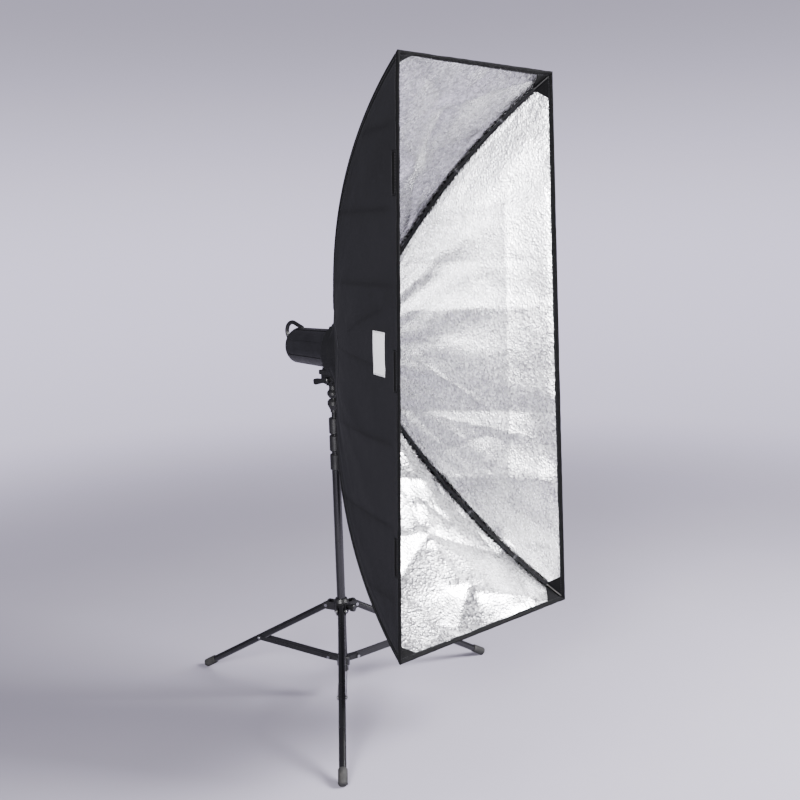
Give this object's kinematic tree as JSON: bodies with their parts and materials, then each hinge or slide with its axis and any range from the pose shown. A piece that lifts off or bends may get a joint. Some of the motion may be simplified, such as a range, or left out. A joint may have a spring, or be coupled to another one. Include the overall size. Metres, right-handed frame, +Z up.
{
  "type": "studio softbox",
  "caption": "Tall rectangular silver-lined softbox on a flash head, with a tilting bracket and a folding light stand of telescopic tubes.",
  "frame": {"origin": "on the floor, under the middle of the whole object's outline", "axes": "+Z up, the softbox faces -Y, +X to the right seen from its front"},
  "size_m": [0.8666, 1.086, 1.764],
  "materials": {
    "tube_black": "satin black anodised tube",
    "casting_black": "black glass-filled plastic, fine grain",
    "knob_plastic": "black moulded plastic",
    "foot_rubber": "matt rubber",
    "pin_steel": "bright plated steel",
    "strip_steel": "black painted steel strip",
    "guide_plastic": "self-lubricating plastic",
    "case_black": "black case, satin with fine grain",
    "lamp_metal": "cast and spun aluminium",
    "lamp_glass": "clear and frosted glass",
    "board_green": "glass-fibre board",
    "capacitor_sleeve": "shrink sleeve",
    "fan_plastic": "moulded plastic",
    "rod_steel": "black coated spring rod",
    "box_fabric": "black coated fabric, pebbled silver inside"
  },
  "bodies": {
    "column": {"column_tube": "tube_black", "column_end_cap": "foot_rubber", "spreader_collar": "casting_black", "collar_pivot_pins": "pin_steel", "clamp_low": "casting_black"},
    "leg_hub": {"leg_hub": "casting_black", "hub_pivot_pins": "pin_steel"},
    "hub_knob": {"hub_knob": "knob_plastic"},
    "section_2": {"section_2_tube": "tube_black", "section_2_plug": "guide_plastic", "clamp_mid": "casting_black"},
    "section_3": {"section_3_tube": "tube_black", "section_3_plug": "guide_plastic", "clamp_high": "casting_black"},
    "section_4": {"section_4_tube": "tube_black", "section_4_plug": "guide_plastic", "spigot": "pin_steel"},
    "bracket": {"bracket_socket": "casting_black"},
    "spigot_knob": {"spigot_knob": "knob_plastic"},
    "head": {"tilt_yoke": "casting_black", "strobe_housing": "case_black", "front_collar": "case_black", "lamp_plate": "lamp_metal", "flash_tube": "lamp_glass", "modelling_lamp": "lamp_glass", "glass_dome": "lamp_glass", "capacitors": "capacitor_sleeve", "circuit_board": "board_green", "rear_panel": "case_black", "mains_inlet": "knob_plastic", "grab_handle": "knob_plastic"},
    "tilt_lever": {"tilt_lever": "knob_plastic"},
    "fan": {"fan_rotor": "fan_plastic"},
    "power_rocker": {"power_rocker": "knob_plastic"},
    "power_dial": {"power_dial": "knob_plastic"},
    "lamp_dial": {"lamp_dial": "knob_plastic"},
    "test_button": {"test_button": "knob_plastic"},
    "release_catch": {"release_catch": "knob_plastic"},
    "softbox": {"speed_ring": "lamp_metal", "tension_rods": "rod_steel", "panel_top": "box_fabric", "panel_right": "box_fabric", "panel_bottom": "box_fabric", "panel_left": "box_fabric", "neck_cuff": "box_fabric"},
    "leg_1": {"leg_tube_1": "tube_black", "leg_foot_1": "foot_rubber", "leg_rivet_1": "pin_steel"},
    "brace_1": {"brace_1": "strip_steel"},
    "clamp_knob_1": {"clamp_knob_1": "knob_plastic"},
    "leg_2": {"leg_tube_2": "tube_black", "leg_foot_2": "foot_rubber", "leg_rivet_2": "pin_steel"},
    "brace_2": {"brace_2": "strip_steel"},
    "clamp_knob_2": {"clamp_knob_2": "knob_plastic"},
    "leg_3": {"leg_tube_3": "tube_black", "leg_foot_3": "foot_rubber", "leg_rivet_3": "pin_steel"},
    "brace_3": {"brace_3": "strip_steel"},
    "clamp_knob_3": {"clamp_knob_3": "knob_plastic"}
  },
  "joints": [
    {"name": "hub_slide", "type": "slide", "parent": "column", "child": "leg_hub", "axis": [0, 0, 1], "range_m": [0, 0.3742]},
    {"name": "leg_1_fold", "type": "hinge", "parent": "leg_hub", "child": "leg_1", "pos_m": [-0.10484, 0.01205, 0.283], "axis": [0.7323, -0.681, 0], "range_deg": [0, 55.8]},
    {"name": "brace_1_fold", "type": "hinge", "parent": "column", "child": "brace_1", "pos_m": [-0.10484, 0.01205, 0.118], "axis": [-0.7323, 0.681, 0], "range_deg": [0, 81.4]},
    {"name": "leg_2_fold", "type": "hinge", "parent": "leg_hub", "child": "leg_2", "pos_m": [-0.03034, 0.03494, 0.283], "axis": [0.2236, 0.9747, 0], "range_deg": [0, 55.8]},
    {"name": "brace_2_fold", "type": "hinge", "parent": "column", "child": "brace_2", "pos_m": [-0.03034, 0.03494, 0.118], "axis": [-0.2236, -0.9747, 0], "range_deg": [0, 81.4]},
    {"name": "leg_3_fold", "type": "hinge", "parent": "leg_hub", "child": "leg_3", "pos_m": [-0.08742, 0.08801, 0.283], "axis": [-0.9559, -0.2937, 0], "range_deg": [0, 55.8]},
    {"name": "brace_3_fold", "type": "hinge", "parent": "column", "child": "brace_3", "pos_m": [-0.08742, 0.08801, 0.118], "axis": [0.9559, 0.2937, 0], "range_deg": [0, 81.4]},
    {"name": "hub_knob_turn", "type": "hinge", "parent": "leg_hub", "child": "hub_knob", "pos_m": [-0.06539, 0.01632, 0.283], "axis": [0.2937, -0.9559, 0], "range_deg": [0, 360]},
    {"name": "section_2_slide", "type": "slide", "parent": "column", "child": "section_2", "axis": [0, 0, 1], "range_m": [0, 0.45]},
    {"name": "section_3_slide", "type": "slide", "parent": "section_2", "child": "section_3", "axis": [0, 0, 1], "range_m": [0, 0.45]},
    {"name": "section_4_slide", "type": "slide", "parent": "section_3", "child": "section_4", "axis": [0, 0, 1], "range_m": [0, 0.45]},
    {"name": "clamp_1_turn", "type": "hinge", "parent": "column", "child": "clamp_knob_1", "pos_m": [-0.05191, 0.02493, 0.7205], "axis": [0.7431, -0.6691, 0], "range_deg": [0, 360]},
    {"name": "clamp_2_turn", "type": "hinge", "parent": "section_2", "child": "clamp_knob_2", "pos_m": [-0.05191, 0.02493, 0.7755], "axis": [0.7431, -0.6691, 0], "range_deg": [0, 360]},
    {"name": "clamp_3_turn", "type": "hinge", "parent": "section_3", "child": "clamp_knob_3", "pos_m": [-0.05191, 0.02493, 0.8265], "axis": [0.7431, -0.6691, 0], "range_deg": [0, 360]},
    {"name": "pan", "type": "hinge", "parent": "section_4", "child": "bracket", "pos_m": [-0.0742, 0.045, 0.925], "axis": [0, 0, 1], "continuous": true},
    {"name": "spigot_knob_turn", "type": "hinge", "parent": "bracket", "child": "spigot_knob", "pos_m": [-0.05652, 0.06268, 0.92], "axis": [0.7071, 0.7071, 0], "range_deg": [0, 360]},
    {"name": "tilt", "type": "hinge", "parent": "bracket", "child": "head", "pos_m": [-0.0742, 0.045, 0.96], "axis": [1, 0, 0], "range_deg": [-60, 20]},
    {"name": "tilt_lever_turn", "type": "hinge", "parent": "head", "child": "tilt_lever", "pos_m": [-0.0942, 0.045, 0.96], "axis": [1, 0, 0], "range_deg": [-45, 15]},
    {"name": "softbox_turn", "type": "hinge", "parent": "head", "child": "softbox", "pos_m": [-0.0742, -0.015, 1.048], "axis": [0, -1, 0], "continuous": true},
    {"name": "fan_spin", "type": "hinge", "parent": "head", "child": "fan", "pos_m": [-0.0742, 0.153, 1.048], "axis": [0, -1, 0], "continuous": true},
    {"name": "power_rocker_tip", "type": "hinge", "parent": "head", "child": "power_rocker", "pos_m": [-0.0462, 0.19, 1.034], "axis": [-1, 0, 0], "range_deg": [0, 16]},
    {"name": "power_dial_turn", "type": "hinge", "parent": "head", "child": "power_dial", "pos_m": [-0.0952, 0.195, 1.066], "axis": [0, 1, 0], "range_deg": [-140, 140]},
    {"name": "lamp_dial_turn", "type": "hinge", "parent": "head", "child": "lamp_dial", "pos_m": [-0.0532, 0.195, 1.066], "axis": [0, 1, 0], "range_deg": [-140, 140]},
    {"name": "test_button_press", "type": "slide", "parent": "head", "child": "test_button", "axis": [0, -1, 0], "range_m": [0, 0.0015], "stiffness_N_per_m": 400},
    {"name": "release_catch_slide", "type": "slide", "parent": "head", "child": "release_catch", "axis": [0, 1, 0], "range_m": [0, 0.004], "stiffness_N_per_m": 250}
  ],
  "couplings": [
    {"joint": "leg_1_fold", "follows": "hub_slide", "rad_per_m": 2.5933},
    {"joint": "brace_1_fold", "follows": "hub_slide", "rad_per_m": 3.7873},
    {"joint": "leg_2_fold", "follows": "hub_slide", "rad_per_m": 2.5933},
    {"joint": "brace_2_fold", "follows": "hub_slide", "rad_per_m": 3.7873},
    {"joint": "leg_3_fold", "follows": "hub_slide", "rad_per_m": 2.5933},
    {"joint": "brace_3_fold", "follows": "hub_slide", "rad_per_m": 3.7873}
  ]
}
